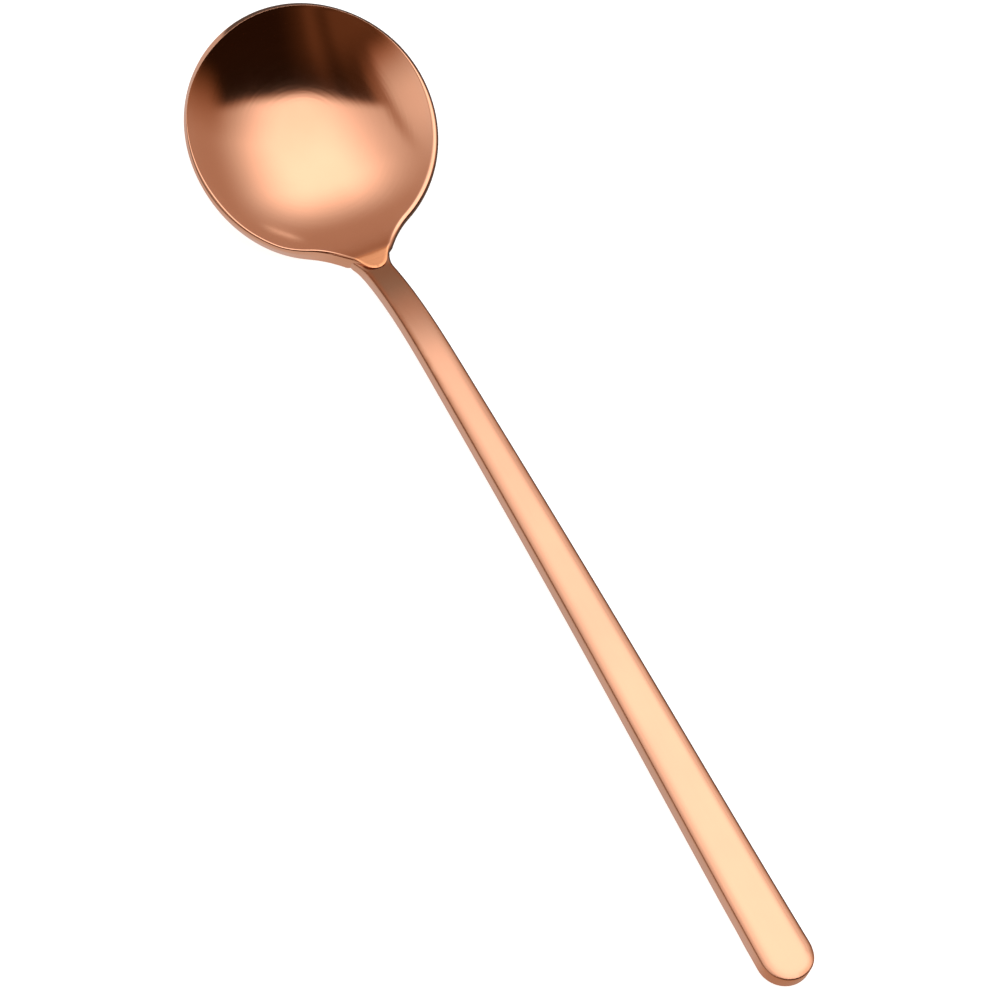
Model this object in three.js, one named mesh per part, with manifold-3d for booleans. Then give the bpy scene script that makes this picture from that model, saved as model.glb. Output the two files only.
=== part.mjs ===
// Stirring spoon with a round bowl on a long slim handle, in millimetres, +Z up.
// It lies on a table at z = 0, along X, with the bowl at -X and the tail of the handle at +X.
// A pressed sheet bowl ends in a round tongue that is turned up, let into the head of a thicker
// handle bar and held there by a thin layer of braze.

import * as THREE from "three";
import { mergeVertices } from "three/addons/utils/BufferGeometryUtils.js";
import Module from "manifold-3d";

// Driving dimensions: whole spoon
const LENGTH = 150;

// Driving dimensions: bowl, with plan sizes measured in the plane of its rim
const BOWL_INSIDE_DIAMETER = 34.4;
const BOWL_DEPTH = 5;
const BOWL_WALL = 1.2;
const RIM_TILT_DEGREES = 19;
const RIM_ROUNDING = 0.2;
const BOWL_REST_DEPTH = 0.12;

// Driving dimensions: tongue of the bowl and the joint under it
const TONGUE_WIDTH = 4.6;
const TONGUE_LENGTH = 3.2;
const TONGUE_PITCH_DEGREES = 27;
const TONGUE_LAND = 2.3;
const TONGUE_BORDER = 0.6;
const NECK_FILLET = 4;
const BRAZE_THICKNESS = 0.3;
const BRAZE_MARGIN = 0.15;
const TONGUE_STANDS_PROUD = 0.45;
const TONGUE_GROOVE = 0.3;

// Driving dimensions: handle
const HANDLE_NECK_WIDTH = 4.2;
const HANDLE_TAIL_WIDTH = 7.4;
const HANDLE_NECK_THICKNESS = 2.2;
const HANDLE_TAIL_THICKNESS = 2.4;
const HANDLE_EDGE = 0.35;
const HANDLE_CROWN = 0.25;
const HEAD_LIP = 0.3;
const NECK_CLEARANCE = 0.15;
const NECK_RISE_DEGREES = 20;
const KNEE_LENGTH = 3;
const BEND_LENGTH = 13;
const TAIL_REST_DEPTH = 0.2;

// Shape factors: how much of the handle's widening follows a square law instead of a straight one,
// how far out the crown of its top face has its shoulders, how fast the dish turns round away from
// the neck, and where the rim's rounding peaks across its edge
const FLARE_SHARE = 0.2;
const SHOULDER_SHARE = 0.6;
const NECK_FADE = 5;
const RIM_PEAK = 0.4;

// Finishes: copper-coloured satin polish on steel, and the darker line of braze
const BOWL_FINISH = { color: 0xcf8a66, roughness: 0.24, metalness: 1 };
const HANDLE_FINISH = { color: 0xdf9f7c, roughness: 0.3, metalness: 1 };
const BRAZE_FINISH = { color: 0x9a5a3c, roughness: 0.45, metalness: 1 };

// Facet counts
const BOWL_STEPS = 56;
const FILLET_STEPS = 5;
const TONGUE_STEPS = 8;
const DISH_RINGS = 7;
const KNEE_STEPS = 5;
const BEND_STEPS = 9;
const BODY_STEPS = 6;
const TAIL_STEPS = 8;
const GROOVE_STEPS = 10;

// Sizes that follow from the driving dimensions: bowl
const rimTilt = THREE.MathUtils.degToRad(RIM_TILT_DEGREES);
const rimRadius = BOWL_INSIDE_DIAMETER / 2;
const innerSphere = (rimRadius ** 2 + BOWL_DEPTH ** 2) / (2 * BOWL_DEPTH);
const outerSphere = innerSphere + BOWL_WALL;
const sphereHeight = innerSphere - BOWL_DEPTH;
const rimAngle = Math.asin(rimRadius / innerSphere);
const outerRadius = outerSphere * Math.sin(rimAngle);
const outerEdgeZ = sphereHeight - outerSphere * Math.cos(rimAngle);
const heelRadius = Math.sqrt(outerSphere ** 2 - (sphereHeight + BOWL_WALL) ** 2);
const tongueReach = outerRadius + TONGUE_LENGTH;
const dishReach = tongueReach - TONGUE_LAND;
const heelReach = dishReach + RIM_ROUNDING / 2;
const tongueHalf = TONGUE_WIDTH / 2;
const dishHalf = tongueHalf - TONGUE_BORDER;
const tongueCentre = tongueReach - tongueHalf;
const tonguePitch = THREE.MathUtils.degToRad(TONGUE_PITCH_DEGREES);
const recessFloor = -BOWL_WALL - BRAZE_THICKNESS;

// Place of the rim's centre, so that the spoon is centred on X and its bowl rests on z = 0
const tipReach = outerSphere * Math.sin(rimAngle + rimTilt) - sphereHeight * Math.sin(rimTilt);
const rimX = tipReach - LENGTH / 2;
const rimZ = outerSphere - BOWL_REST_DEPTH - sphereHeight * Math.cos(rimTilt);
const rimPlace = new THREE.Matrix4()
  .makeRotationY(rimTilt)
  .setPosition(rimX, 0, rimZ);

// Sizes that follow from the driving dimensions: side line of the handle's top face
const neck = placeOnTongue(tongueReach, -TONGUE_STANDS_PROUD);
const head = placeOnTongue(heelReach + BRAZE_MARGIN, recessFloor);
const tailX = LENGTH / 2;
const tailRadius = HANDLE_TAIL_WIDTH / 2;
const tailCentreX = tailX - tailRadius;
const kneeEndX = neck.x + TONGUE_GROOVE;
const kneeStartX = kneeEndX - KNEE_LENGTH;
const bendEndX = kneeEndX + BEND_LENGTH;
const headSlope = Math.tan(tonguePitch - rimTilt);
const neckSlope = Math.tan(THREE.MathUtils.degToRad(NECK_RISE_DEGREES));
const tailTopZ = HANDLE_TAIL_THICKNESS - TAIL_REST_DEPTH;
const bodySlope =
  (tailTopZ - neck.z - (neckSlope * BEND_LENGTH) / 2) / (BEND_LENGTH / 2 + tailX - bendEndX);
const thinning = (HANDLE_NECK_THICKNESS - HANDLE_TAIL_THICKNESS) / (tailX - kneeEndX);
const restStartX = tailX - TAIL_REST_DEPTH / (-bodySlope - thinning);

const wasm = await Module();
wasm.setup();

// Height of the turned-up tongue over the plane of the rim, which it leaves at the rim's circle.
function tongueLift(x) {
  return Math.tan(tonguePitch) * Math.max(0, x - rimRadius);
}

// Place in the spoon's frame of a point above or below the middle line of the tongue.
function placeOnTongue(x, height) {
  return new THREE.Vector3(x, 0, height + tongueLift(x)).applyMatrix4(rimPlace);
}

// Geometry in the plane of the rim, turned up as the tongue is.
function turnedUp(geometry) {
  const place = geometry.attributes.position;
  for (let i = 0; i < place.count; i++) place.setZ(i, place.getZ(i) + tongueLift(place.getX(i)));
  return geometry;
}

// Closed geometry from points and triangles of point indices.
function geometryFrom(points, triangles) {
  const geometry = new THREE.BufferGeometry().setFromPoints(points);
  geometry.setIndex(triangles.flat());
  return geometry;
}

// Solid for a boolean cut, from any closed geometry.
function solidFrom(geometry) {
  const bare = geometry.clone();
  bare.deleteAttribute("normal");
  bare.deleteAttribute("uv");
  const merged = mergeVertices(bare);
  return new wasm.Manifold(
    new wasm.Mesh({
      numProp: 3,
      vertProperties: new Float32Array(merged.attributes.position.array),
      triVerts: new Uint32Array(merged.index.array),
    }),
  );
}

// Geometry of a solid that has been cut.
function geometryOf(solid) {
  const mesh = solid.getMesh();
  const geometry = new THREE.BufferGeometry();
  geometry.setAttribute("position", new THREE.BufferAttribute(mesh.vertProperties, 3));
  geometry.setIndex(new THREE.BufferAttribute(mesh.triVerts, 1));
  return geometry;
}

// Named mesh with its own material.
function namedPart(name, geometry, finish) {
  const shaded = geometry.index ? geometry.toNonIndexed() : geometry;
  shaded.computeVertexNormals();
  const part = new THREE.Mesh(shaded, new THREE.MeshStandardMaterial(finish));
  part.name = name;
  return part;
}

// Outline of the bowl seen square to its rim: a circle whose neck side runs through two fillets into
// a round-ended tongue. Each point also says how far it belongs to the tongue, from 0 to 1.
function bowlOutline(radius, reach, halfWidth) {
  const endX = reach - halfWidth;
  const toBowl = radius + NECK_FILLET;
  const toTongue = halfWidth + NECK_FILLET;
  const filletX = (toBowl ** 2 - toTongue ** 2 + endX ** 2) / (2 * endX);
  const filletY = Math.sqrt(toBowl ** 2 - filletX ** 2);
  const bowlAngle = Math.atan2(filletY, filletX);
  const tongueAngle = Math.atan2(filletY, filletX - endX);
  const arc = (x, y, size, from, to, clockwise, steps) =>
    new THREE.EllipseCurve(x, y, size, size, from, to, clockwise).getPoints(steps).slice(0, -1);
  const tongue = arc(endX, 0, halfWidth, -tongueAngle, tongueAngle, false, TONGUE_STEPS);
  const left = arc(
    filletX, filletY, NECK_FILLET, Math.PI + tongueAngle, Math.PI + bowlAngle, true, FILLET_STEPS,
  );
  const bowl = arc(0, 0, radius, bowlAngle, 2 * Math.PI - bowlAngle, false, BOWL_STEPS);
  const right = arc(
    filletX, -filletY, NECK_FILLET, Math.PI - bowlAngle, Math.PI - tongueAngle, true, FILLET_STEPS,
  );
  return [
    ...tongue.map((p) => ({ x: p.x, y: p.y, tongue: 1 })),
    ...left.map((p, i) => ({ x: p.x, y: p.y, tongue: 1 - i / FILLET_STEPS })),
    ...bowl.map((p) => ({ x: p.x, y: p.y, tongue: 0 })),
    ...right.map((p, i) => ({ x: p.x, y: p.y, tongue: i / FILLET_STEPS })),
  ];
}

// Rings of one face of the sheet, from next to its deepest point out to the given edge. Towards the
// edge the rings stretch from circles into the outline with the tongue, and their height goes from
// the sphere of the dish to the plane of the tongue.
function dishRings(edge, radius, sphere) {
  const edgeAngle = Math.asin(radius / sphere);
  const edgeZ = sphereHeight - sphere * Math.cos(edgeAngle);
  return Array.from({ length: DISH_RINGS }, (_, i) => {
    const share = Math.sin((edgeAngle * (i + 1)) / DISH_RINGS) / Math.sin(edgeAngle);
    return edge.map((p) => {
      const reach = Math.hypot(p.x, p.y);
      const out = share * THREE.MathUtils.lerp(radius, reach, share ** NECK_FADE);
      const x = (p.x * out) / reach;
      const dishZ = sphereHeight - Math.sqrt(sphere ** 2 - out ** 2);
      const z = out > radius ? edgeZ + tongueLift(x) : dishZ;
      return new THREE.Vector3(x, (p.y * out) / reach, z);
    });
  });
}

// Pressed bowl with its tongue, in the plane of its rim, with a small flat where it rests.
function bowlGeometry() {
  const dishEdge = bowlOutline(rimRadius, dishReach, dishHalf);
  const sheetEdge = bowlOutline(outerRadius, tongueReach, tongueHalf);
  const heelEdge = bowlOutline(heelRadius, heelReach, dishHalf);

  const roundedEdge = sheetEdge.map((p, i) => {
    const inward = THREE.MathUtils.lerp(RIM_PEAK, RIM_ROUNDING / TONGUE_LAND, p.tongue);
    const x = THREE.MathUtils.lerp(p.x, dishEdge[i].x, inward);
    const y = THREE.MathUtils.lerp(p.y, dishEdge[i].y, inward);
    return new THREE.Vector3(x, y, tongueLift(x) - RIM_ROUNDING * (1 - p.tongue / 2));
  });
  const lowerEdge = sheetEdge.map((p) => {
    const below = THREE.MathUtils.lerp(outerEdgeZ, -BOWL_WALL, p.tongue);
    return new THREE.Vector3(p.x, p.y, tongueLift(p.x) + below);
  });
  const rings = [
    ...dishRings(dishEdge, rimRadius, innerSphere),
    roundedEdge,
    lowerEdge,
    ...dishRings(heelEdge, heelRadius, outerSphere).reverse(),
  ];

  const count = dishEdge.length;
  const points = rings.flat();
  const innerPole = points.push(new THREE.Vector3(0, 0, -BOWL_DEPTH)) - 1;
  const outerPole = points.push(new THREE.Vector3(0, 0, -BOWL_DEPTH - BOWL_WALL)) - 1;
  const triangles = [];
  for (let i = 0; i < count; i++) {
    const next = (i + 1) % count;
    triangles.push([innerPole, i, next]);
    for (let ring = 0; ring < rings.length - 1; ring++) {
      const here = ring * count;
      const out = here + count;
      triangles.push([here + i, out + i, out + next], [here + i, out + next, here + next]);
    }
    const last = (rings.length - 1) * count;
    triangles.push([outerPole, last + next, last + i]);
  }

  const table = new THREE.BoxGeometry(LENGTH, LENGTH, LENGTH)
    .translate(0, 0, -LENGTH / 2)
    .applyMatrix4(rimPlace.clone().invert());
  return geometryOf(solidFrom(geometryFrom(points, triangles)).subtract(solidFrom(table)));
}

// Braze layer between the tongue and the floor of the handle's recess, in the plane of the rim.
function brazeGeometry() {
  const radius = tongueHalf - BRAZE_MARGIN;
  const half = Math.min(tongueHalf, HANDLE_NECK_WIDTH / 2) - BRAZE_MARGIN;
  const angle = Math.asin(half / radius);
  const startX = heelReach + BRAZE_MARGIN;
  const outline = new THREE.Shape();
  outline.moveTo(startX, -half);
  outline.absarc(tongueCentre, 0, radius, -angle, angle, false);
  outline.lineTo(startX, half);
  const plate = new THREE.ExtrudeGeometry(outline, {
    depth: BRAZE_THICKNESS,
    bevelEnabled: false,
    curveSegments: GROOVE_STEPS,
  });
  return turnedUp(plate.translate(0, 0, recessFloor));
}

// Height of the handle's top face along X. Its slope changes evenly through the knee and the bend.
function topZ(x) {
  const parabola = (fromX, slope, change, length) => {
    const run = x - fromX;
    return slope * run + (change * run ** 2) / (2 * length);
  };
  const kneeStartZ = neck.z - ((headSlope + neckSlope) * KNEE_LENGTH) / 2;
  const bendEndZ = neck.z + ((neckSlope + bodySlope) * BEND_LENGTH) / 2;
  if (x < kneeStartX) return kneeStartZ + headSlope * (x - kneeStartX);
  if (x < kneeEndX) {
    return kneeStartZ + parabola(kneeStartX, headSlope, neckSlope - headSlope, KNEE_LENGTH);
  }
  if (x < bendEndX) {
    return neck.z + parabola(kneeEndX, neckSlope, bodySlope - neckSlope, BEND_LENGTH);
  }
  return bendEndZ + bodySlope * (x - bendEndX);
}

// Height of the handle's underside along X: thinned to a lip under the tongue, clear of the table at
// the neck and flat on it at the tail.
function undersideZ(x) {
  if (x >= restStartX) return 0;
  const thickness = HANDLE_NECK_THICKNESS - thinning * Math.max(0, x - kneeEndX);
  const barZ = Math.max(topZ(x) - thickness, NECK_CLEARANCE);
  const thinned = THREE.MathUtils.clamp((kneeEndX - x) / (kneeEndX - head.x), 0, 1);
  return THREE.MathUtils.lerp(barZ, head.z - HEAD_LIP, thinned);
}

// Half width of the handle along X, up to its round tail.
function halfWidth(x) {
  const share = THREE.MathUtils.clamp((x - kneeEndX) / (tailCentreX - kneeEndX), 0, 1);
  const flare = THREE.MathUtils.lerp(share, share ** 2, FLARE_SHARE);
  return THREE.MathUtils.lerp(HANDLE_NECK_WIDTH, HANDLE_TAIL_WIDTH, flare) / 2;
}

// Even steps from one value towards another, without the last one.
function evenSteps(from, to, steps) {
  return Array.from({ length: steps }, (_, i) => THREE.MathUtils.lerp(from, to, i / steps));
}

// One ring round the handle, drawn in by an inset: along its right edge, round the tail and back.
function handleRing(inset, heightAt) {
  const stations = [
    ...evenSteps(head.x, kneeEndX, KNEE_STEPS),
    ...evenSteps(kneeEndX, bendEndX, BEND_STEPS),
    ...evenSteps(bendEndX, Math.min(restStartX, tailCentreX), BODY_STEPS),
  ];
  if (restStartX < tailCentreX) stations.push(restStartX);
  const side = stations.map((x) => new THREE.Vector2(x, halfWidth(x) - inset));
  for (const angle of evenSteps(0, Math.PI / 2, TAIL_STEPS)) {
    const radius = tailRadius - inset;
    side.push(new THREE.Vector2(tailCentreX + radius * Math.sin(angle), radius * Math.cos(angle)));
  }
  const tip = new THREE.Vector2(tailX - inset, 0);
  const right = side.map((p) => new THREE.Vector2(p.x, -p.y));
  const outline = [...right, tip, ...side.toReversed()];
  return outline.map((p) => new THREE.Vector3(p.x, p.y, heightAt(p.x)));
}

// Handle bar with rounded edges, a crowned top face and a recess that takes the tongue.
function handleGeometry() {
  const rings = [
    handleRing(HANDLE_EDGE, undersideZ),
    handleRing(0, (x) => undersideZ(x) + HANDLE_EDGE),
    handleRing(0, (x) => topZ(x) - HANDLE_EDGE),
    handleRing(HANDLE_EDGE, topZ),
  ];
  const shoulder = rings.at(-1).map((p) => {
    const x = p.x - Math.max(0, p.x - tailCentreX) * (1 - SHOULDER_SHARE);
    const z = topZ(x) + HANDLE_CROWN * (1 - SHOULDER_SHARE ** 3);
    return new THREE.Vector3(x, p.y * SHOULDER_SHARE, z);
  });
  rings.push(shoulder);
  const count = shoulder.length;
  const tip = (count - 1) / 2;
  const ridge = shoulder
    .slice(0, tip)
    .map((p) => new THREE.Vector3(p.x, 0, topZ(p.x) + HANDLE_CROWN));
  const points = [...rings.flat(), ...ridge];
  const top = (rings.length - 1) * count;
  const crest = rings.length * count;
  const mirror = (i) => count - 1 - i;

  const triangles = [];
  const quad = (a, b, c, d) => triangles.push([a, b, c], [a, c, d]);
  for (let ring = 0; ring < rings.length - 1; ring++) {
    const low = ring * count;
    const high = low + count;
    for (let i = 0; i < count - 1; i++) quad(low + i, low + i + 1, high + i + 1, high + i);
    quad(low + mirror(0), low, high, high + mirror(0));
  }
  for (let i = 0; i < tip - 1; i++) {
    quad(i, mirror(i), mirror(i + 1), i + 1);
    quad(top + i, top + i + 1, crest + i + 1, crest + i);
    quad(crest + i, crest + i + 1, top + mirror(i + 1), top + mirror(i));
  }
  triangles.push([tip - 1, tip + 1, tip]);
  triangles.push([top + tip - 1, top + tip, crest + tip - 1]);
  triangles.push([crest + tip - 1, top + tip, top + tip + 1]);
  triangles.push([top, crest, top + mirror(0)]);

  const half = tongueHalf + TONGUE_GROOVE;
  const outline = new THREE.Shape();
  outline.moveTo(rimRadius, -half);
  outline.absarc(tongueCentre, 0, half, -Math.PI / 2, Math.PI / 2, false);
  outline.lineTo(rimRadius, half);
  const block = new THREE.ExtrudeGeometry(outline, {
    depth: BOWL_DEPTH,
    bevelEnabled: false,
    curveSegments: GROOVE_STEPS,
  });
  const recess = turnedUp(block.translate(0, 0, recessFloor)).applyMatrix4(rimPlace);
  return geometryOf(solidFrom(geometryFrom(points, triangles)).subtract(solidFrom(recess)));
}

// Assembly: the bowl and its braze lie in the tilted plane of the rim, the handle in the spoon's frame
const bowlGroup = new THREE.Group();
bowlGroup.rotation.y = rimTilt;
bowlGroup.position.set(rimX, 0, rimZ);
bowlGroup.add(namedPart("bowl", bowlGeometry(), BOWL_FINISH));
bowlGroup.add(namedPart("braze_seam", brazeGeometry(), BRAZE_FINISH));

const spoon = new THREE.Group();
spoon.name = "stirring_spoon";
spoon.add(bowlGroup);
spoon.add(namedPart("handle", handleGeometry(), HANDLE_FINISH));

export default spoon;
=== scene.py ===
"""Stirring spoon in copper-coloured metal: a pressed round bowl brazed into the head of a bar handle.

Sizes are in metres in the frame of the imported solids: X runs from the bowl to the tail, Z is up, and
the spoon lies on a floor at z = 0. The bowl is drawn first in the plane of its rim, with the rim's
centre at the origin, and then tilted and moved to its place. Left and right are the photograph's: left
is towards -Y. A span is a pair of values between which something fades in or out.
"""

import logging
import math
from collections.abc import Callable, Iterable, Sequence
from dataclasses import dataclass
from enum import Enum
from functools import cached_property

import bmesh
import bpy
from mathutils import Matrix, Vector


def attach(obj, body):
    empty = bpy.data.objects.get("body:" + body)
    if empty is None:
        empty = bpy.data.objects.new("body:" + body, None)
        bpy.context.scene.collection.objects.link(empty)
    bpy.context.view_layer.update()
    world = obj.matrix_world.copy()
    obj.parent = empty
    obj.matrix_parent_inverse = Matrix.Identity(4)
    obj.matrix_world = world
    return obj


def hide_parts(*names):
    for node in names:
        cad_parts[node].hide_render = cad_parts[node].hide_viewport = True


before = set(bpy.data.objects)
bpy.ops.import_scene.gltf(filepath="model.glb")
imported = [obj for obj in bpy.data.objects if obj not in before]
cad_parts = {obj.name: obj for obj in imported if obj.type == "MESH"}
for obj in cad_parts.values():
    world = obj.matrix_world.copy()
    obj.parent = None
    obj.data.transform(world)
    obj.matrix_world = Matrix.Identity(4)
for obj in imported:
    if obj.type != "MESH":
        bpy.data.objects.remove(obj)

LOG = logging.getLogger("stirring_spoon")

MM = 0.001
TOUCH = 1e-7
MERGE = 1e-6
PRESS_REACH = 6.0 * MM
CENTRE = (0.0, 0.0, 0.0)
UP = (0.0, 0.0, 1.0)
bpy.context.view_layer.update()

Piece = bpy.types.Object
Node = bpy.types.Node
Socket = bpy.types.NodeSocket
VertexTest = Callable[[Vector], bool]
VertexValue = Callable[[Vector], float]
VertexMove = Callable[[Vector], Vector]
Span = tuple[float, float]
Point = tuple[float, float, float]


class Lay(Enum):
    """Way in which the fine polishing lines lie on a piece."""

    ALONG = "along"
    ROUND = "round"


def smooth(value: float, start: float, end: float) -> float:
    """Smooth step from 0 at start to 1 at end."""
    share = min(max((value - start) / (end - start), 0.0), 1.0)
    return share * share * (3.0 - 2.0 * share)


def mix(first: float, second: float, share: float) -> float:
    """Value between two others."""
    return first + (second - first) * share


def soft_min(first: float, second: float, blend: float) -> float:
    """Lower of two heights, rounded where they cross."""
    share = min(max(0.5 + 0.5 * (second - first) / blend, 0.0), 1.0)
    return mix(second, first, share) - blend * share * (1.0 - share)


class Bench:
    """Modes, selections and modifiers that the modelling of every piece goes through."""

    @staticmethod
    def clear() -> None:
        """Leave edit mode and deselect everything."""
        if bpy.context.object is not None and bpy.context.object.mode != "OBJECT":
            bpy.ops.object.mode_set(mode="OBJECT")
        bpy.ops.object.select_all(action="DESELECT")

    @staticmethod
    def hold(piece: Piece) -> None:
        """Make one object the only selected and active one.

        Args:
            piece: the object.
        """
        Bench.clear()
        piece.select_set(True)
        bpy.context.view_layer.objects.active = piece

    @staticmethod
    def edit() -> None:
        """Enter edit mode on the active object, in vertex selection."""
        bpy.ops.object.mode_set(mode="EDIT")
        bpy.ops.mesh.select_mode(type="VERT")

    @staticmethod
    def all() -> None:
        """Select the whole mesh, in edit mode."""
        bpy.ops.mesh.select_all(action="SELECT")

    @staticmethod
    def done() -> None:
        """Return to object mode."""
        bpy.ops.object.mode_set(mode="OBJECT")

    @staticmethod
    def pick(test: VertexTest) -> None:
        """Select vertices by their place, in edit mode.

        Args:
            test: says whether a vertex at this place is wanted.
        """
        mesh = bpy.context.object.data
        shape = bmesh.from_edit_mesh(mesh)
        for vertex in shape.verts:
            vertex.select = test(vertex.co)
        shape.select_flush_mode()
        bmesh.update_edit_mesh(mesh)

    @staticmethod
    def slide(offset: Sequence[float]) -> None:
        """Move what is selected, in edit mode."""
        bpy.ops.transform.translate(value=tuple(offset))

    @staticmethod
    def scale(value: Sequence[float]) -> None:
        """Scale what is selected from the frame's origin, in edit mode."""
        bpy.ops.transform.resize(value=tuple(value), center_override=CENTRE)

    @staticmethod
    def cut(point: Sequence[float], outward: Sequence[float]) -> None:
        """Cut the whole mesh off at a plane and close it there, in edit mode.

        Args:
            point: point of the plane.
            outward: direction towards the side that is removed.
        """
        Bench.all()
        bpy.ops.mesh.bisect(
            plane_co=point, plane_no=outward, clear_outer=True, use_fill=True, threshold=TOUCH
        )

    @staticmethod
    def settle(place: Matrix | None = None) -> Piece:
        """Apply the active object's place, turn and scale to its mesh.

        Args:
            place: place that the object is put at first.

        Returns:
            The object.
        """
        piece = bpy.context.object
        if place is not None:
            piece.matrix_world = place
        bpy.ops.object.transform_apply(location=True, rotation=True, scale=True)
        return piece

    @staticmethod
    def apply(kind: str, **settings: object) -> None:
        """Add a modifier to the active object and apply it.

        Args:
            kind: Blender's type name of the modifier.
            settings: values set on the modifier before it is applied.
        """
        bpy.ops.object.modifier_add(type=kind)
        modifier = bpy.context.object.modifiers[-1]
        for name, value in settings.items():
            setattr(modifier, name, value)
        bpy.ops.object.modifier_apply(modifier=modifier.name)

    @staticmethod
    def press(move: VertexMove) -> None:
        """Move each vertex of the active object by weighted displacements along the three axes.

        Args:
            move: wanted move of a vertex at a place, no longer than the press reaches along an axis.
        """
        piece, reach = bpy.context.object, PRESS_REACH
        moves = [move(vertex.co) for vertex in piece.data.vertices]
        for axis, name in enumerate("XYZ"):
            group = piece.vertex_groups.new(name=name)
            for index, offset in enumerate(moves):
                weight = min(max(offset[axis] / reach + 1.0, 0.0), 2.0) / 2.0
                group.add([index], weight, "REPLACE")
        for name in "XYZ":
            Bench.apply(
                "DISPLACE", direction=name, mid_level=0.0, strength=2.0 * reach, vertex_group=name
            )
        Bench.edit()
        Bench.all()
        Bench.slide((-reach, -reach, -reach))
        Bench.done()
        piece.vertex_groups.clear()

    @staticmethod
    def mark(name: str, amount: VertexValue) -> None:
        """Paint a value on the active object's vertices for its finish to read.

        Args:
            name: name of the painted attribute.
            amount: value of a vertex at a place.
        """
        mesh = bpy.context.object.data
        layer = mesh.attributes.new(name, "FLOAT", "POINT")
        layer.data.foreach_set("value", [amount(vertex.co) for vertex in mesh.vertices])

    @staticmethod
    def draw(name: str, points: Sequence[Point]) -> Piece:
        """Draw a chain of edges, from a plane that is merged to one vertex and extruded through points.

        Args:
            name: name of the new object.
            points: places of the chain's vertices.

        Returns:
            The object, in edit mode and all selected.
        """
        Bench.clear()
        bpy.ops.mesh.primitive_plane_add(size=MM, location=points[0])
        piece = Bench.settle()
        piece.name = piece.data.name = name
        Bench.edit()
        Bench.all()
        bpy.ops.mesh.merge(type="CENTER")
        for point, following in zip(points, points[1:]):
            step = tuple(end - start for start, end in zip(point, following))
            bpy.ops.mesh.extrude_vertices_move(TRANSFORM_OT_translate={"value": step})
        Bench.all()
        return piece

    @staticmethod
    def heal() -> None:
        """Merge doubled vertices and turn all faces outwards, in edit mode."""
        Bench.all()
        bpy.ops.mesh.remove_doubles(threshold=MERGE)
        bpy.ops.mesh.normals_make_consistent(inside=False)


@dataclass
class NeckOutline:
    """Edge of the sheet at the neck: the tongue's round end, a fillet and the rim's circle."""

    rim_radius: float
    tongue_centre: float
    tongue_half: float
    fillet: float

    @cached_property
    def fillet_centre(self) -> Vector:
        """Centre of the fillet, in the plane of the rim."""
        to_bowl = self.rim_radius + self.fillet
        to_tongue = self.tongue_half + self.fillet
        x = (to_bowl**2 - to_tongue**2 + self.tongue_centre**2) / (2.0 * self.tongue_centre)
        return Vector((x, math.sqrt(to_bowl**2 - x**2), 0.0))

    @cached_property
    def tongue_sweep(self) -> float:
        """Angle that the tongue's round end takes on either side."""
        return math.atan2(self.fillet_centre.y, self.fillet_centre.x - self.tongue_centre)

    @cached_property
    def neck_turn(self) -> float:
        """Angle round the bowl's axis at which the fillet leaves the rim."""
        return math.atan2(self.fillet_centre.y, self.fillet_centre.x)

    @cached_property
    def tongue_share(self) -> float:
        """Share of the edge's length that the tongue's round end takes."""
        tongue = self.tongue_half * self.tongue_sweep
        return tongue / (tongue + self.fillet * (self.tongue_sweep - self.neck_turn))

    @staticmethod
    def way(angle: float) -> Vector:
        """Direction in the plane of the rim."""
        return Vector((math.cos(angle), math.sin(angle), 0.0))

    def at(self, turn: float) -> tuple[Vector, Vector]:
        """Point of the edge that belongs to a direction round the bowl's axis.

        Args:
            turn: angle from the direction of the handle.

        Returns:
            The point, and the direction out of the sheet there.
        """
        share = abs(turn) / self.neck_turn
        if share >= 1.0:
            outward = self.way(turn)
            return self.rim_radius * outward, outward
        if share < self.tongue_share:
            angle = self.tongue_sweep * share / self.tongue_share
            outward = self.way(angle)
            point = Vector((self.tongue_centre, 0.0, 0.0)) + self.tongue_half * outward
        else:
            along = (share - self.tongue_share) / (1.0 - self.tongue_share)
            angle = mix(self.tongue_sweep, self.neck_turn, along)
            outward = self.way(angle)
            point = self.fillet_centre - self.fillet * outward
        side = 1.0 if turn >= 0.0 else -1.0
        return Vector((point.x, side * point.y, 0.0)), Vector((outward.x, side * outward.y, 0.0))


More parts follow.
